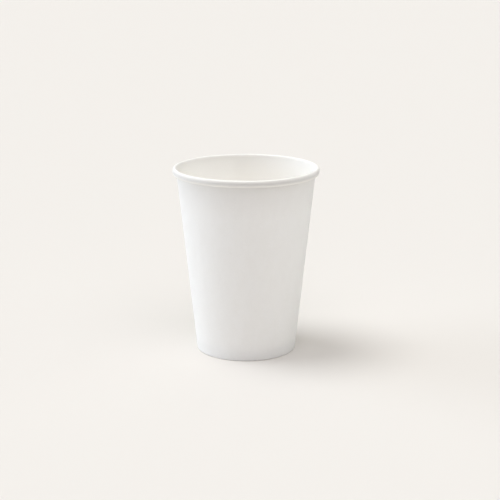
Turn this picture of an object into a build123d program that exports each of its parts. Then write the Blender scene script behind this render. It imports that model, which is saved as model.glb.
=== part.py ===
from build123d import *
import os
from math import asin, atan2, cos, degrees, hypot, sin, tan

# Paper cold cup, in millimetres. It stands on z = 0 with its axis on Z, and its side seam faces +Y.
# Two pieces of coated paperboard: a sidewall wrapped from one fan-shaped blank, its top edge rolled
# outwards into the rim and its bottom edge folded in, and a base disc whose skirt that fold grips.

# Overall sizes
height = 115.0  # from the table to the crown of the rim
rim_diameter = 90.0  # across the outside of the rolled rim
base_diameter = 61.5  # across the outside of the foot

# Sidewall board and its rolled rim
board = 0.34  # thickness of the sidewall board
rim_width = 2.5  # thickness of the roll, from the mouth to its outer side
rim_depth = 4.2  # from the crown of the roll down to its underside
rim_tuck = 1.2  # length of board that runs back up inside the roll
rim_gap = 0.05  # space between the tucked edge and the wall

# Side seam: the blank's outer end joggles up and laps over its inner end
lap_width = 7.0  # overlap of the two ends, at the mouth
lap_foot = 0.7  # height above the table at which the lap starts
lap_bite = 0.04  # depth to which the two layers are pressed into each other
joggle_width = 11.0  # length over which the outer end rises, at the mouth

# Base disc and the folded foot that grips it
disc_board = 0.28  # thickness of the base disc
disc_height = 8.0  # from the table to the upper face of the disc
disc_corner = 0.8  # outer radius where the disc turns down into its skirt
hem_height = 6.5  # from the table to the edge of the folded-in hem
seal_film = 0.02  # coating that bonds the skirt on each of its sides

# The wall's outer face rises from the foot and runs, tangent, into the top bend of the rim.
rim_radius = rim_diameter / 2
base_radius = base_diameter / 2
crown_bend = rim_width / 2
crown_r = rim_radius - crown_bend
crown_z = height - crown_bend
crown_reach = hypot(crown_r - base_radius, crown_z)
lean = atan2(crown_r - base_radius, crown_z) - asin((crown_bend - board) / crown_reach)
lean_deg = degrees(lean)


def wall_radius(z, depth=0.0):
    """Radius at height z of the surface that lies a given depth inside the wall's outer face."""
    return base_radius + z * tan(lean) - depth / cos(lean)


# The roll's underside is a second bend that turns up beside the wall.
tuck_reach = (rim_radius - base_radius) * cos(lean) - (height - rim_depth) * sin(lean) - rim_gap
tuck_bend = tuck_reach / (1 + cos(lean) + sin(lean))
tuck_r = rim_radius - tuck_bend
tuck_z = height - rim_depth + tuck_bend

# At the foot the wall, the skirt and the hem lie one inside the other, round a sharp double crease.
skirt_depth = board + seal_film
hem_depth = skirt_depth + disc_board + seal_film
hem_crease = Vector(wall_radius(board, hem_depth), board)
wall_crease = Vector(wall_radius(board, board), board)
hem_length = (hem_height - board) / cos(lean)


def draw_fold():
    """Draws hem and fold on both faces of the board, and gives the feet of the wall's two faces."""
    hem_bend = CenterArc(hem_crease, board, 180 - lean_deg, 90 + lean_deg)
    wall_bend = CenterArc(wall_crease, board, 270, 90 - lean_deg)
    hem_rise = hem_length * -(hem_bend % 0)
    Polyline(wall_crease, hem_crease, hem_crease + hem_rise, hem_bend @ 0 + hem_rise, hem_bend @ 0)
    Line(hem_bend @ 1, wall_bend @ 0)
    return wall_crease, wall_bend @ 1


def draw_roll():
    """Draws the roll on both faces of the board, and gives the tops of the wall's two faces."""
    wall_tops = []
    tucked_edges = []
    for depth in (0, board):
        crown = CenterArc((crown_r, crown_z), crown_bend - depth, 180 - lean_deg, lean_deg - 180)
        underside = CenterArc((tuck_r, tuck_z), tuck_bend - depth, 0, -180 - lean_deg)
        tuck = Line(underside @ 1, underside @ 1 + rim_tuck * (underside % 1))
        Line(crown @ 1, underside @ 0)
        wall_tops.append(crown @ 0)
        tucked_edges.append(tuck @ 1)
    Line(*tucked_edges)
    return wall_tops


# Section of the whole board: hem, fold, wall and roll
with BuildSketch(Plane.YZ) as board_section:
    with BuildLine():
        for wall_foot, wall_top in zip(draw_fold(), draw_roll()):
            Line(wall_foot, wall_top)
    make_face()

# Section of the wall and roll alone, cut level at the foot of the lap
lap_feet = [(wall_radius(lap_foot, board), lap_foot), (wall_radius(lap_foot), lap_foot)]
with BuildSketch(Plane.YZ) as wall_section:
    with BuildLine():
        coated_top, plain_top = draw_roll()
        Polyline(coated_top, *lap_feet, plain_top)
    make_face()

# Space that the wall and roll take up, cut out where the joggle goes; its inner side is in the film
gap_depth = board + seal_film / 2
gap_top = height + rim_depth
gap_side = rim_radius + rim_width
with BuildSketch(Plane.YZ) as gap_section:
    with BuildLine():
        Polyline(
            (wall_radius(lap_foot, gap_depth), lap_foot),
            (gap_side, lap_foot),
            (gap_side, gap_top),
            (wall_radius(gap_top, gap_depth), gap_top),
            close=True,
        )
    make_face()

# The joggle is two equal bends, the first flatter than the wall and the second tighter, each about
# an upright pivot; together they carry the section outwards by the height of the lap.
mouth_radius = rim_radius - rim_width
lap_rise = (board - lap_bite) / cos(lean)
lap_turn = degrees(lap_width / mouth_radius)
joggle = joggle_width / mouth_radius
joggle_turn = degrees(joggle)
pivot_reach = lap_rise * cos(joggle / 4) / (2 * sin(joggle / 4) * sin(joggle / 2))
flat_axis = Axis((-pivot_reach * sin(joggle), -pivot_reach * cos(joggle), 0), (0, 0, 1))
tight_axis = Axis((0, pivot_reach, 0), (0, 0, -1))
joggle_start = wall_section.sketch.rotate(Axis.Z, -joggle_turn)
joggle_end = wall_section.sketch.moved(Location((0, lap_rise, 0)))

with BuildPart() as sidewall:
    revolve(board_section.sketch, axis=Axis.Z)
    revolve(
        gap_section.sketch.rotate(Axis.Z, -joggle_turn),
        axis=Axis.Z,
        revolution_arc=joggle_turn,
        mode=Mode.SUBTRACT,
    )
    revolve(joggle_start, axis=flat_axis, revolution_arc=joggle_turn / 2)
    revolve(joggle_end, axis=tight_axis, revolution_arc=joggle_turn / 2)
    revolve(joggle_end, axis=Axis.Z, revolution_arc=lap_turn)

# The base disc is a shallow tray turned upside down, its skirt parallel to the wall.
corner_z = disc_height - disc_corner
corner_r = wall_radius(corner_z, skirt_depth + disc_corner)
skirt_end = board + seal_film

with BuildPart() as base_disc:
    with BuildSketch(Plane.YZ):
        with BuildLine():
            Line((0, disc_height), (corner_r, disc_height))
            corner = CenterArc((corner_r, corner_z), disc_corner, 90, -90 - lean_deg)
            Line(corner @ 1, (wall_radius(skirt_end, skirt_depth), skirt_end))
            offset(amount=disc_board, side=Side.RIGHT)
        make_face()
    revolve(axis=Axis.Z)

os.makedirs("parts", exist_ok=True)
sidewall.part.label = "sidewall"
export_step(sidewall.part, "parts/sidewall.step")
base_disc.part.label = "base_disc"
export_step(base_disc.part, "parts/base_disc.step")
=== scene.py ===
import bmesh
import bpy
import math
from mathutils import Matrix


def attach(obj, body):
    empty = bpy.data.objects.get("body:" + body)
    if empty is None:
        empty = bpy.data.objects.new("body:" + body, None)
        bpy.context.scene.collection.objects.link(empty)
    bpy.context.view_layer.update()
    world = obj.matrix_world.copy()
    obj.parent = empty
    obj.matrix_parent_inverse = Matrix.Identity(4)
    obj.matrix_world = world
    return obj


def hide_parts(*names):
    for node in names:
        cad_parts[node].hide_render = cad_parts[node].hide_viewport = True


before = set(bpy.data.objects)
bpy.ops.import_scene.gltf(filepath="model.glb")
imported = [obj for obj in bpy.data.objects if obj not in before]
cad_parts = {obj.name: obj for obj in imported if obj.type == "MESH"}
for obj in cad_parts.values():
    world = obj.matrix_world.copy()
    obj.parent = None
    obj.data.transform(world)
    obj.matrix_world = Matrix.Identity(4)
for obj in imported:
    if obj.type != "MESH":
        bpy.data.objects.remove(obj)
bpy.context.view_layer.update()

# Base disc: a round blank of coated board, its edge drawn down into a skirt.
# Drawing gathers the corner into fine pleats. The disc sits above the table, and its skirt stands
# between the wall and the folded foot, where heat seals it to both.
disc_board = 0.00028
disc_top = 0.008
disc_corner = 0.0008
skirt_foot = 0.0005
skirt_radius_at_table = 0.030388
wall_slope = math.radians(6.0644)
disc_steps = 540
pleat_count = 90
pleat_depth = 0.00003
pleat_start = 0.0002
base_white = (0.915, 0.906, 0.884)
base_shade = (0.897, 0.887, 0.864)
base_cut = (0.800, 0.765, 0.700)


def bend(centre, radius, start_deg, turn_deg, steps):
    """Points of an arc in a half section: radius from the axis and height above the table."""
    points = []
    for step in range(steps + 1):
        angle = math.radians(start_deg + turn_deg * step / steps)
        points.append((centre[0] + radius * math.cos(angle), centre[1] + radius * math.sin(angle)))
    return points


def run(start, end, steps):
    """Points of a straight run in a half section, both ends included."""
    points = []
    for step in range(steps + 1):
        share = step / steps
        points.append((start[0] + (end[0] - start[0]) * share, start[1] + (end[1] - start[1]) * share))
    return points


def feed(tree, socket, value):
    """Gives a socket its value, or links it to another socket or to a node's first output."""
    if isinstance(value, bpy.types.Node):
        value = value.outputs[0]
    if isinstance(value, bpy.types.NodeSocket):
        tree.links.new(value, socket)
    else:
        socket.default_value = value


def add_node(tree, kind, settings=None, **inputs):
    """Adds a node and feeds its inputs, each known by its label, or by its number as in _0."""
    node = tree.nodes.new(kind)
    for name, value in (settings or {}).items():
        setattr(node, name, value)
    for name, value in inputs.items():
        number = name[1:]
        label = name.replace("_", " ")
        feed(tree, node.inputs[int(number) if number.isdigit() else label], value)
    return node


def work_out(tree, operation, *terms, clamp=False):
    """Adds a Math node on numbers, sockets or nodes."""
    node = add_node(tree, "ShaderNodeMath", {"operation": operation, "use_clamp": clamp})
    for socket, term in zip(node.inputs, terms):
        feed(tree, socket, term)
    return node


def make_board_sweep():
    """Geometry Nodes that carry a half section of board round the cup's axis, lapped or closed."""
    tree = bpy.data.node_groups.new("board_sweep", "GeometryNodeTree")
    tree.interface.new_socket("Geometry", in_out="OUTPUT", socket_type="NodeSocketGeometry")
    for name, kind in (
        ("Section", "Geometry"),
        ("Path Radius", "Float"),
        ("Sweep Angle", "Float"),
        ("Joggle Angle", "Float"),
        ("Lap Rise", "Float"),
        ("Steps", "Int"),
        ("Closed", "Bool"),
        ("Ridge Count", "Int"),
        ("Ridge Depth", "Float"),
        ("Board", "Material"),
    ):
        tree.interface.new_socket(name, in_out="INPUT", socket_type="NodeSocket" + kind)
    given = tree.nodes.new("NodeGroupInput").outputs

    # The path runs anticlockwise from the seam at the back. Before a whole turn is done it rises in an
    # S by one board, so that its end laps over its start. That outer end is a raw cut.
    open_steps = work_out(tree, "SUBTRACT", given["Steps"], given["Closed"])
    line = add_node(tree, "GeometryNodeMeshLine", Count=work_out(tree, "ADD", open_steps, 1.0))
    curve = add_node(tree, "GeometryNodeMeshToCurve", Mesh=line)
    step = work_out(tree, "DIVIDE", given["Sweep Angle"], given["Steps"])
    angle = work_out(tree, "MULTIPLY", add_node(tree, "GeometryNodeInputIndex"), step)
    rise = add_node(
        tree,
        "ShaderNodeMapRange",
        {"interpolation_type": "SMOOTHSTEP"},
        Value=angle,
        From_Min=work_out(tree, "SUBTRACT", math.tau, given["Joggle Angle"]),
        From_Max=math.tau,
        To_Max=given["Lap Rise"],
    )
    arm = add_node(tree, "ShaderNodeCombineXYZ", Y=work_out(tree, "ADD", given["Path Radius"], rise))
    upright = {"rotation_type": "Z_AXIS"}
    turned = add_node(tree, "ShaderNodeVectorRotate", upright, Vector=arm, Angle=angle)
    placed = add_node(tree, "GeometryNodeSetPosition", Geometry=curve, Position=turned)
    marked = add_node(tree, "GeometryNodeStoreNamedAttribute", Geometry=placed, Name="around", Value=angle)
    outer_end = add_node(tree, "GeometryNodeCurveEndpointSelection", Start_Size=0, End_Size=1)
    raw = work_out(tree, "SUBTRACT", outer_end, given["Closed"], clamp=True)
    trimmed = add_node(tree, "GeometryNodeStoreNamedAttribute", Geometry=marked, Name="cut", Value=raw)
    looped = add_node(tree, "GeometryNodeSetSplineCyclic", Geometry=trimmed, Cyclic=given["Closed"])
    path = add_node(tree, "GeometryNodeSetCurveNormal", {"mode": "Z_UP"}, Curve=looped)

    # The section is drawn upright, so it is laid down in the path's own frame before the sweep.
    outline = add_node(tree, "GeometryNodeMeshToCurve", Mesh=given["Section"])
    drawn = add_node(tree, "ShaderNodeSeparateXYZ", Vector=add_node(tree, "GeometryNodeInputPosition"))
    outwards = work_out(tree, "SUBTRACT", drawn.outputs["X"], given["Path Radius"])
    downwards = work_out(tree, "MULTIPLY", drawn.outputs["Z"], -1.0)
    flat = add_node(tree, "ShaderNodeCombineXYZ", X=outwards, Y=downwards)
    profile = add_node(tree, "GeometryNodeSetPosition", Geometry=outline, Position=flat)
    swept = add_node(tree, "GeometryNodeCurveToMesh", Curve=path, Profile_Curve=profile, Fill_Caps=True)

    # Pressed ridges move the marked part of the section in and out as it goes round.
    around = add_node(tree, "GeometryNodeInputNamedAttribute", Name="around")
    pressed = add_node(tree, "GeometryNodeInputNamedAttribute", Name="pressed")
    wave = work_out(tree, "COSINE", work_out(tree, "MULTIPLY", around, given["Ridge Count"]))
    depth = work_out(tree, "MULTIPLY", wave, given["Ridge Depth"])
    height = work_out(tree, "MULTIPLY", depth, pressed)
    here = add_node(tree, "GeometryNodeInputPosition")
    level = add_node(tree, "ShaderNodeVectorMath", {"operation": "MULTIPLY"}, _0=here, _1=(1, 1, 0))
    away = add_node(tree, "ShaderNodeVectorMath", {"operation": "NORMALIZE"}, _0=level)
    push = add_node(tree, "ShaderNodeVectorMath", {"operation": "SCALE"}, Vector=away, Scale=height)
    ridged = add_node(tree, "GeometryNodeSetPosition", Geometry=swept, Offset=push)

    # Where a section reaches the axis, its points fall together as it goes round, and are welded.
    weld_reach = 0.000001
    welded = add_node(tree, "GeometryNodeMergeByDistance", Geometry=ridged, Distance=weld_reach)
    real = add_node(tree, "GeometryNodeRealizeInstances", Geometry=welded)
    dressed = add_node(tree, "GeometryNodeSetMaterial", Geometry=real, Material=given["Board"])
    feed(tree, tree.nodes.new("NodeGroupOutput").inputs[0], dressed)
    return tree


board_sweep = make_board_sweep()


def sweep_board(name, section, marks, sizes):
    """Sweeps a closed half section of board into a plain mesh that keeps the section's marks."""
    drawing = bpy.data.meshes.new(name + "_section")
    corners = len(section)
    edges = [(corner, (corner + 1) % corners) for corner in range(corners)]
    drawing.from_pydata([(radius, 0, height) for radius, height in section], edges, [])
    for mark, values in marks.items():
        attribute = drawing.attributes.new(mark, "FLOAT", "POINT")
        attribute.data.foreach_set("value", values)
    holder = bpy.data.objects.new(name + "_section", drawing)
    bpy.context.scene.collection.objects.link(holder)
    sweep = holder.modifiers.new("sweep", "NODES")
    sweep.node_group = board_sweep
    for socket in board_sweep.interface.items_tree:
        if socket.name in sizes:
            sweep[socket.identifier] = sizes[socket.name]
    ready = bpy.context.evaluated_depsgraph_get()
    mesh = bpy.data.meshes.new_from_object(
        holder.evaluated_get(ready), preserve_all_data_layers=True, depsgraph=ready
    )
    holder.modifiers.remove(sweep)
    bpy.data.objects.remove(holder)
    bpy.data.meshes.remove(drawing)
    return mesh


def finish_piece(name, meshes, body, node, sharp_deg=35):
    """Joins swept meshes into one piece that stands for a CAD node, with outward faces."""
    joined = bmesh.new()
    for mesh in meshes:
        joined.from_mesh(mesh)
    loose = [edge for edge in joined.edges if not edge.link_faces]
    bmesh.ops.delete(joined, geom=loose, context="EDGES")
    bmesh.ops.recalc_face_normals(joined, faces=joined.faces)
    whole = meshes[0]
    joined.to_mesh(whole)
    joined.free()
    whole.name = name
    whole.shade_smooth()
    whole.set_sharp_from_angle(angle=math.radians(sharp_deg))
    piece = bpy.data.objects.new(name, whole)
    bpy.context.scene.collection.objects.link(piece)
    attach(piece, body)
    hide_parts(node)


def spread(tree, value, low, high, to_low=0.0, to_high=1.0):
    """Adds a Map Range node from low and high to a new low and high."""
    limits = {"From_Min": low, "From_Max": high, "To_Min": to_low, "To_Max": to_high}
    return add_node(tree, "ShaderNodeMapRange", Value=value, **limits)


def mix_colours(tree, share, first, second):
    """Mixes two colours with a Mix node, whose colour sockets are inputs 6 and 7 and output 2."""
    node = add_node(tree, "ShaderNodeMix", {"data_type": "RGBA"}, _0=share, _6=first, _7=second)
    return node.outputs[2]


def read_mark(tree, mark):
    """Reads one of the marks that the section carries into the mesh."""
    return add_node(tree, "ShaderNodeAttribute", {"attribute_name": mark}).outputs["Fac"]


def make_paperboard(name, white, shade, coated_white, roll_shade_grey, cut_white, rough, coated_rough):
    """Bleached board: cloudy fibre formation, fine felt marks along the grain, a coat on one face."""
    grain_stretch = (1.0, 1.0, 0.45)
    clouds_per_metre = 260.0
    fibres_per_metre = 2600.0
    fibre_relief = 0.00002
    light_travel = 0.00018
    material = bpy.data.materials.new(name)
    material.use_nodes = True
    tree = material.node_tree
    tree.nodes.clear()
    place = add_node(tree, "ShaderNodeTexCoord").outputs["Object"]
    grain = add_node(tree, "ShaderNodeMapping", Vector=place, Scale=grain_stretch)
    clouds = add_node(tree, "ShaderNodeTexNoise", Vector=grain, Scale=clouds_per_metre)
    clouds.inputs["Detail"].default_value = 4.0
    clouds.inputs["Roughness"].default_value = 0.55
    fibres = add_node(tree, "ShaderNodeTexNoise", Vector=grain, Scale=fibres_per_metre)
    fibres.inputs["Detail"].default_value = 3.0
    fibres.inputs["Roughness"].default_value = 0.6
    fibres.inputs["Distortion"].default_value = 0.6

    # Colour: mottled and fibrous on the plain face, even on the coat, mixed towards a grey as painted
    # shade on the roll and on the wall under it, and darker on a raw cut.
    coated = read_mark(tree, "coated")
    plain = mix_colours(tree, spread(tree, clouds, 0.32, 0.68), (*shade, 1), (*white, 1))
    speck = spread(tree, fibres, 0.3, 0.7, 0.975, 1.01)
    fibred = add_node(tree, "ShaderNodeVectorMath", {"operation": "SCALE"}, Vector=plain, Scale=speck)
    faced = mix_colours(tree, coated, fibred, (*coated_white, 1))
    roll_shaded = mix_colours(tree, read_mark(tree, "painted_roll_shade"), faced, (*roll_shade_grey, 1))
    colour = mix_colours(tree, read_mark(tree, "cut"), roll_shaded, (*cut_white, 1))

    # Surface: the coat is smoother than the plain face, and fibres stand out less through it.
    dullness = spread(tree, coated, 0.0, 1.0, rough, coated_rough)
    roughness = work_out(tree, "ADD", dullness, spread(tree, clouds, 0.3, 0.7, -0.04, 0.04))
    relief = spread(tree, coated, 0.0, 1.0, 0.3, 0.1)
    bump = add_node(tree, "ShaderNodeBump", Strength=relief, Distance=fibre_relief, Height=fibres)
    shader = add_node(
        tree, "ShaderNodeBsdfPrincipled", Base_Color=colour, Roughness=roughness, Normal=bump
    )
    shader.inputs["Specular IOR Level"].default_value = 0.35
    shader.inputs["Subsurface Weight"].default_value = 1.0
    shader.inputs["Subsurface Radius"].default_value = (1.0, 1.0, 1.0)
    shader.inputs["Subsurface Scale"].default_value = light_travel
    result = tree.nodes.new("ShaderNodeOutputMaterial")
    feed(tree, result.inputs["Surface"], shader)
    return material


base_paper = make_paperboard(
    "base_paper",
    white=base_white,
    shade=base_shade,
    coated_white=base_white,
    roll_shade_grey=base_white,
    cut_white=base_cut,
    rough=0.62,
    coated_rough=0.5,
)

# The disc's section: its upper face out and over the corner, the skirt, and the lower face back in.
slope_deg = math.degrees(wall_slope)
slope_sin = math.sin(wall_slope)
slope_cos = math.cos(wall_slope)
corner_height = disc_top - disc_corner
corner_radius = skirt_radius_at_table + corner_height * math.tan(wall_slope) - disc_corner / slope_cos
corner_centre = (corner_radius, corner_height)
disc_upper = run((0, disc_top), (corner_radius, disc_top), steps=12)
disc_upper += bend(corner_centre, disc_corner, 90, -90 - slope_deg, steps=8)[1:]
disc_lower = bend(corner_centre, disc_corner - disc_board, -slope_deg, 90 + slope_deg, steps=6)
disc_lower += run((corner_radius, disc_top - disc_board), (0, disc_top - disc_board), steps=12)[1:]
skirt_drop = (corner_height - disc_corner * slope_sin - skirt_foot) / slope_cos
skirt_edge = []
for radius, height in (disc_upper[-1], disc_lower[0]):
    skirt_edge.append((radius - skirt_drop * slope_sin, height - skirt_drop * slope_cos))
pleats_above = [float(radius > corner_radius) for radius, height in disc_upper]
pleats_below = [float(radius > corner_radius + pleat_start) for radius, height in disc_lower]
disc_mesh = sweep_board(
    "base_disc",
    disc_upper + skirt_edge + disc_lower,
    {
        "coated": [1.0] * (len(disc_upper) + 1) + [0.0] * (len(disc_lower) + 1),
        "pressed": pleats_above + [0.0] * len(skirt_edge) + pleats_below,
    },
    {
        "Path Radius": corner_radius,
        "Sweep Angle": math.tau,
        "Steps": disc_steps,
        "Closed": True,
        "Ridge Count": pleat_count,
        "Ridge Depth": pleat_depth / 2,
        "Board": base_paper,
    },
)
finish_piece("paper_base_disc", [disc_mesh], "root", "base_disc")

# Sidewall: one fan-shaped blank of coated board, wrapped round the disc and lapped at the back.
# Its top edge is rolled outwards into the rim, so the roll shows the coated face, and its foot is
# folded in and up round the disc's skirt and pressed against it by a knurled wheel.
board = 0.000298
rim_radius = 0.045
rim_top = 0.115
roll_low = 0.1108
crown_radius = 0.00115
side_deg = 22.0
tuck_radius = 0.00105
tuck_length = 0.0012
# Painted shade on the roll: its share on the crown's top, and how far it reaches over and under the middle
# of the side.
crown_shade_share = 0.3
side_shade_over = 0.0027
side_shade_under = 0.0016
coated_radius_at_table = 0.030408
mouth_radius = 0.0425
lap_width = 0.007
lap_foot = 0.0007
lap_rise = 0.0003017
joggle_width = 0.011
# Painted shade under the roll, on the wall's plain face: its share at the roll, fading to nothing at this
# height.
shade_fade_low = 0.090
under_roll_shade_share = 0.4
under_roll_shade_steps = 6
fold_radius = 0.0004
pinch_height = 0.0021
pinch_deg = 20.0
hem_top = 0.0065
hem_depth = 0.00032
wall_steps = 540
knurl_count = 90
knurl_depth = 0.00012
knurl_low = 0.0023
knurl_high = 0.0057
wall_white = (0.938, 0.933, 0.923)
wall_shade = (0.924, 0.918, 0.907)
coated_white = (0.978, 0.963, 0.918)
# Painted shade: the grey that the roll's outer side, the top of its crown and the wall under the roll are
# mixed towards.
roll_shade_grey = (0.765, 0.757, 0.744)
wall_cut = (0.800, 0.765, 0.700)


def coated_radius(z, inwards=0.0):
    """Radius at height z of the wall's coated face, or of a surface that lies inside it."""
    return coated_radius_at_table + z * math.tan(wall_slope) - inwards / slope_cos


wall_paper = make_paperboard(
    "wall_paper",
    white=wall_white,
    shade=wall_shade,
    coated_white=coated_white,
    roll_shade_grey=roll_shade_grey,
    cut_white=wall_cut,
    rough=0.7,
    coated_rough=0.5,
)

# The roll is an oval of three bends that run into each other: its crown, its side and its underside.
crown_height = rim_top - crown_radius
tuck_height = roll_low + tuck_radius
side_sin = math.sin(math.radians(side_deg))
side_cos = math.cos(math.radians(side_deg))
side_radius = ((crown_height - tuck_height) / side_sin + crown_radius + tuck_radius) / 2
side_height = crown_height - (side_radius - crown_radius) * side_sin
side_centre = (rim_radius - side_radius, side_height)
crown_centre = (side_centre[0] + (side_radius - crown_radius) * side_cos, crown_height)
tuck_centre = (side_centre[0] + (side_radius - tuck_radius) * side_cos, tuck_height)

# Wall and roll: up the coated face, over the crown, down and under, and back along the plain face.
crown_turn = 180 - slope_deg - side_deg
tuck_turn = 180 + slope_deg - side_deg
coated_crown = bend(crown_centre, crown_radius, 180 - slope_deg, -crown_turn, steps=16)
coated_side = bend(side_centre, side_radius, side_deg, -2 * side_deg, steps=8)
coated_under = bend(tuck_centre, tuck_radius, -side_deg, -tuck_turn, steps=16)
plain_under = bend(tuck_centre, tuck_radius - board, -180 - slope_deg, tuck_turn, steps=12)
plain_side = bend(side_centre, side_radius - board, -side_deg, 2 * side_deg, steps=6)
plain_crown = bend(crown_centre, crown_radius - board, side_deg, crown_turn, steps=12)
tuck_edge = []
for radius, height in (coated_under[-1], plain_under[0]):
    tuck_edge.append((radius + tuck_length * slope_sin, height + tuck_length * slope_cos))
coated_foot = (coated_radius(lap_foot), lap_foot)
plain_foot = (coated_radius(lap_foot, -board), lap_foot)
shade_fade_end = (coated_radius(shade_fade_low, -board), shade_fade_low)
coated_wall = run(coated_foot, coated_crown[0], steps=14)[:-1]
coated_roll = coated_crown + coated_side[1:] + coated_under[1:] + tuck_edge[:1]
plain_roll = tuck_edge[1:] + plain_under + plain_side[1:] + plain_crown[1:]
plain_shaded_under_roll = run(plain_crown[-1], shade_fade_end, steps=under_roll_shade_steps)[1:]
plain_wall = run(shade_fade_end, plain_foot, steps=12)[1:]
coated_points = coated_wall + coated_roll
plain_points = plain_roll + plain_shaded_under_roll + plain_wall

# Painted shade: the outside of the roll's side and the top of its crown are mixed towards a grey, as shade
# on the side and a toned-down highlight on the crown. Below the roll, the top of the wall's plain face is
# painted darker, fading downwards, as the roll's shadow on it.
roll_shading = []
for radius, height in coated_roll:
    outside = float(radius > crown_centre[0])
    reach = side_shade_over if height > side_height else side_shade_under
    on_side = outside * max(0.0, 1 - abs(height - side_height) / reach)
    on_crown = crown_shade_share * max(0.0, (height - crown_height) / crown_radius)
    roll_shading.append(max(on_side, on_crown))
under_roll_shade = [under_roll_shade_share * (1 - step / under_roll_shade_steps) for step in range(1, under_roll_shade_steps + 1)]
unrolled = [0.0] * len(coated_wall)
wall_turn = math.tau + lap_width / mouth_radius
wall_mesh = sweep_board(
    "wall_and_roll",
    coated_points + plain_points,
    {
        "coated": [1.0] * len(coated_points) + [0.0] * len(plain_points),
        "painted_roll_shade": unrolled + roll_shading + [0.0] * len(plain_roll) + under_roll_shade + [0.0] * len(plain_wall),
    },
    {
        "Path Radius": coated_radius_at_table,
        "Sweep Angle": wall_turn,
        "Joggle Angle": joggle_width / mouth_radius,
        "Lap Rise": lap_rise,
        "Steps": round(wall_steps * wall_turn / math.tau),
        "Closed": False,
        "Ridge Count": 0,
        "Ridge Depth": 0.0,
        "Board": wall_paper,
    },
)

# Folded foot: a closed ring below the lap. The board curls round under the skirt in a soft loop, is
# pinched against the skirt, and runs up it as the hem.
fold_height = fold_radius + board
fold_centre = (coated_radius(fold_height, fold_radius), fold_height)
coated_fold = bend(fold_centre, fold_radius, -slope_deg, -180 - pinch_deg, steps=8)
plain_fold = bend(fold_centre, fold_height, 180 - slope_deg - pinch_deg, 180 + pinch_deg, steps=14)
coated_pinch = (coated_radius(pinch_height, hem_depth), pinch_height)
plain_pinch = (coated_radius(pinch_height, hem_depth + board), pinch_height)
hem_coated_top = (coated_radius(hem_top, hem_depth), hem_top)
hem_plain_top = (coated_radius(hem_top, hem_depth + board), hem_top)
hem_face = run(hem_plain_top, plain_pinch, steps=12)
coated_points = [coated_foot] + coated_fold + [coated_pinch, hem_coated_top]
plain_points = hem_face + plain_fold + [plain_foot]
knurled = [float(knurl_low < height < knurl_high) for radius, height in hem_face]
foot_mesh = sweep_board(
    "folded_foot",
    coated_points + plain_points,
    {
        "coated": [1.0] * len(coated_points) + [0.0] * len(plain_points),
        "pressed": [0.0] * len(coated_points) + knurled + [0.0] * (len(plain_fold) + 1),
    },
    {
        "Path Radius": coated_radius_at_table,
        "Sweep Angle": math.tau,
        "Joggle Angle": 0.0,
        "Lap Rise": 0.0,
        "Steps": wall_steps,
        "Closed": True,
        "Ridge Count": knurl_count,
        "Ridge Depth": knurl_depth / 2,
        "Board": wall_paper,
    },
)
finish_piece("paper_sidewall", [wall_mesh, foot_mesh], "root", "sidewall")

# Floor: one wide, flat, pale and quite matt sheet, which the cup stands on.
# It has no seam and runs out past everything the camera sees.
floor_reach = 12.0
floor_pale = (0.735, 0.714, 0.680)
floor_mesh = bpy.data.meshes.new("floor")
floor_corners = []
for side_x, side_y in ((-1, -1), (1, -1), (1, 1), (-1, 1)):
    floor_corners.append((side_x * floor_reach, side_y * floor_reach, 0))
floor_mesh.from_pydata(floor_corners, [], [(0, 1, 2, 3)])
floor_sheet = bpy.data.materials.new("floor_sheet")
floor_sheet.use_nodes = True
floor_shader = floor_sheet.node_tree.nodes["Principled BSDF"]
floor_shader.inputs["Base Color"].default_value = (*floor_pale, 1)
floor_shader.inputs["Roughness"].default_value = 1.0
floor_shader.inputs["Specular IOR Level"].default_value = 0.0
floor_mesh.materials.append(floor_sheet)
floor = bpy.data.objects.new("floor", floor_mesh)
bpy.context.scene.collection.objects.link(floor)

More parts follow.
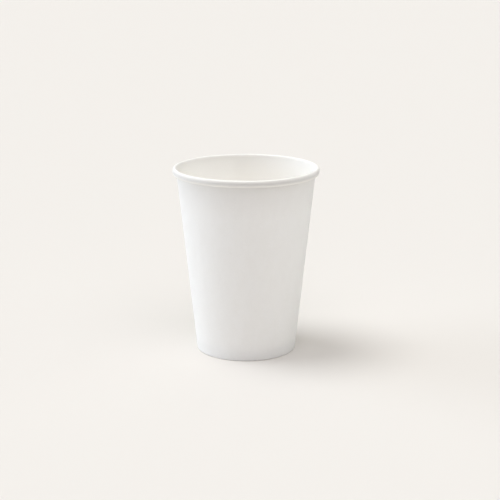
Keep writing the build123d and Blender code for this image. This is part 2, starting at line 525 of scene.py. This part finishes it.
# Light: a bright ceiling that fades to a dim horizon, a large soft key high on the left, a tall panel
# low on the left that lights that side of the wall, and weak fills from the front, right and back.
ceiling_strength = 0.53
ceiling_low = 0.375
ceiling_high = 0.85
ceiling_tint = (0.94, 0.95, 1.0)
room = bpy.data.worlds.new("room")
room.use_nodes = True
room_tree = room.node_tree
direction = add_node(room_tree, "ShaderNodeTexCoord").outputs["Generated"]
ceiling = add_node(
    room_tree,
    "ShaderNodeMapRange",
    {"interpolation_type": "SMOOTHSTEP"},
    Value=add_node(room_tree, "ShaderNodeSeparateXYZ", Vector=direction).outputs["Z"],
    From_Min=ceiling_low,
    From_Max=ceiling_high,
    To_Max=ceiling_strength,
)
room_light = room_tree.nodes["Background"]
room_light.inputs["Color"].default_value = (*ceiling_tint, 1)
feed(room_tree, room_light.inputs["Strength"], ceiling)
bpy.context.scene.world = room

# Each lamp's place is an angle round from the camera's side towards the left, and one up.
for name, colour, strength, softness_deg, round_deg, height_deg in (
    ("key", (1.0, 0.99, 0.965), 0.40, 30, 99, 71),
    ("left_panel", (0.825, 0.908, 1.0), 0.74, 64, 102, 8),
    ("front_fill", (1.0, 0.945, 0.95), 0.34, 60, 345, 57),
    ("right_fill", (0.96, 1.0, 0.93), 0.15, 64, 270, 30),
    ("back_fill", (1.0, 0.91, 0.69), 0.09, 64, 180, 50),
):
    lamp = bpy.data.lights.new(name, "SUN")
    lamp.color = colour
    lamp.energy = math.pi * strength
    lamp.angle = math.radians(softness_deg)
    stand = bpy.data.objects.new(name, lamp)
    stand.rotation_euler = (math.radians(90 - height_deg), 0, math.radians(-round_deg))
    bpy.context.scene.collection.objects.link(stand)
bpy.context.scene.view_settings.view_transform = "Standard"

# Inside a white cup, light goes from wall to wall many times before it leaves.
bpy.context.scene.cycles.diffuse_bounces = 12

# Camera: a long lens in front of the cup, a little above its rim and tilted down.
# Its place, tilt and length were fitted to the rim, wall and foot in the photograph.
camera_place = (0.00242, -0.7952, 0.2670)
camera_down_deg = 14.432
camera = bpy.data.cameras.new("camera")
camera.sensor_width = 36.0
camera.lens = 95.07
camera.clip_end = 50.0
camera_stand = bpy.data.objects.new("camera", camera)
camera_stand.location = camera_place
camera_stand.rotation_euler = (math.radians(90 - camera_down_deg), 0, 0)
bpy.context.scene.collection.objects.link(camera_stand)
bpy.context.scene.camera = camera_stand
